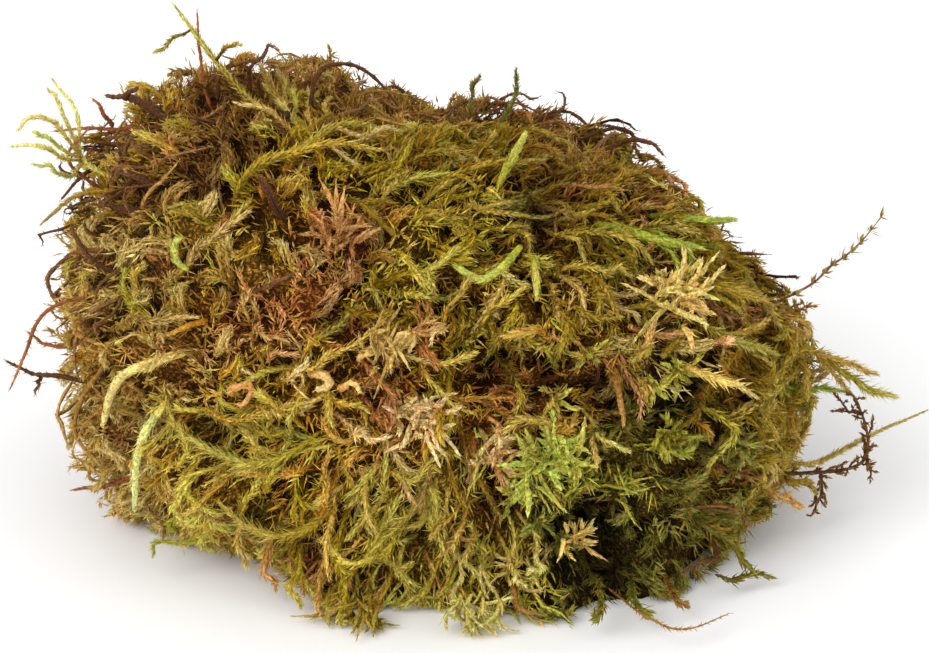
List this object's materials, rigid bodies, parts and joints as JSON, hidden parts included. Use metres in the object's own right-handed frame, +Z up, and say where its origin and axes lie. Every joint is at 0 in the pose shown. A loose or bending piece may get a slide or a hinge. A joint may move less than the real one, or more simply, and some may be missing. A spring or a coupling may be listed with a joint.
{
  "type": "moss clump",
  "caption": "Clump of wild forest moss as lifted off the ground: a rounded tangled mat with leafy shoots, peat-moss heads, bare stems and litter, resting flat.",
  "frame": {"origin": "centre of the flat underside of the mat", "axes": "+Z up, +X to the right as the best side is seen, which faces -Y"},
  "size_m": [0.1511, 0.1062, 0.0849],
  "materials": {
    "old_growth": "matt, tangled brown stems and old leaves",
    "feather_moss": "matt, golden green leaves",
    "fresh_moss": "matt, bright green leaves",
    "pale_moss": "matt, straw-coloured leaves",
    "peat_moss": "matt, green star-shaped heads",
    "rust_moss": "matt, rusty pink old leaves",
    "bare_stem": "matt, reddish brown",
    "litter": "matt, dark brown bark"
  },
  "bodies": {
    "root": {"arched_stem": "bare_stem", "back_shoot_1": "feather_moss", "back_shoot_2": "feather_moss", "bark_flake": "litter", "beaded_spray": "bare_stem", "bottom_thread": "litter", "bottom_tuft_left": "pale_moss", "bottom_tuft_middle": "pale_moss", "bottom_twig": "litter", "bright_shoot_1": "fresh_moss", "bright_shoot_2": "fresh_moss", "bright_shoot_3": "fresh_moss", "bright_shoot_4": "fresh_moss", "brown_hanging_stem": "bare_stem", "brown_stub": "bare_stem", "crown_shoot": "feather_moss", "curled_leaf": "fresh_moss", "dark_root": "litter", "dark_twig": "litter", "drooping_shoot_1": "feather_moss", "drooping_shoot_2": "feather_moss", "feather_shoot_1": "feather_moss", "feather_shoot_2": "feather_moss", "fern_stem": "bare_stem", "fir_needle": "litter", "forked_twig": "litter", "golden_shoot": "feather_moss", "green_side_shoot": "fresh_moss", "green_tipped_stem": "bare_stem", "hanging_stem": "bare_stem", "hooked_stem": "bare_stem", "left_frond": "pale_moss", "left_twig": "litter", "lone_peat_head": "pale_moss", "long_dark_twig": "litter", "low_left_stem": "bare_stem", "lower_left_shoot": "feather_moss", "lower_right_shoot": "feather_moss", "moss_mat": "old_growth", "orange_stem": "bare_stem", "pale_curved_shoot": "pale_moss", "pale_hanging_shoot": "pale_moss", "pale_side_shoot": "pale_moss", "peat_head_1": "peat_moss", "peat_head_2": "peat_moss", "peat_head_3": "peat_moss", "red_stem": "bare_stem", "ridge_stem": "litter", "right_green_shoot": "fresh_moss", "rust_tuft_1": "rust_moss", "rust_tuft_2": "rust_moss", "straw_head": "pale_moss", "straw_head_arm": "pale_moss", "straw_head_stalk": "pale_moss", "straw_tuft_1": "pale_moss", "straw_tuft_2": "pale_moss", "thick_feather_shoot": "feather_moss", "thin_upright_stem": "bare_stem", "upright_shoot_1": "fresh_moss", "upright_shoot_2": "fresh_moss"}
  },
  "joints": []
}
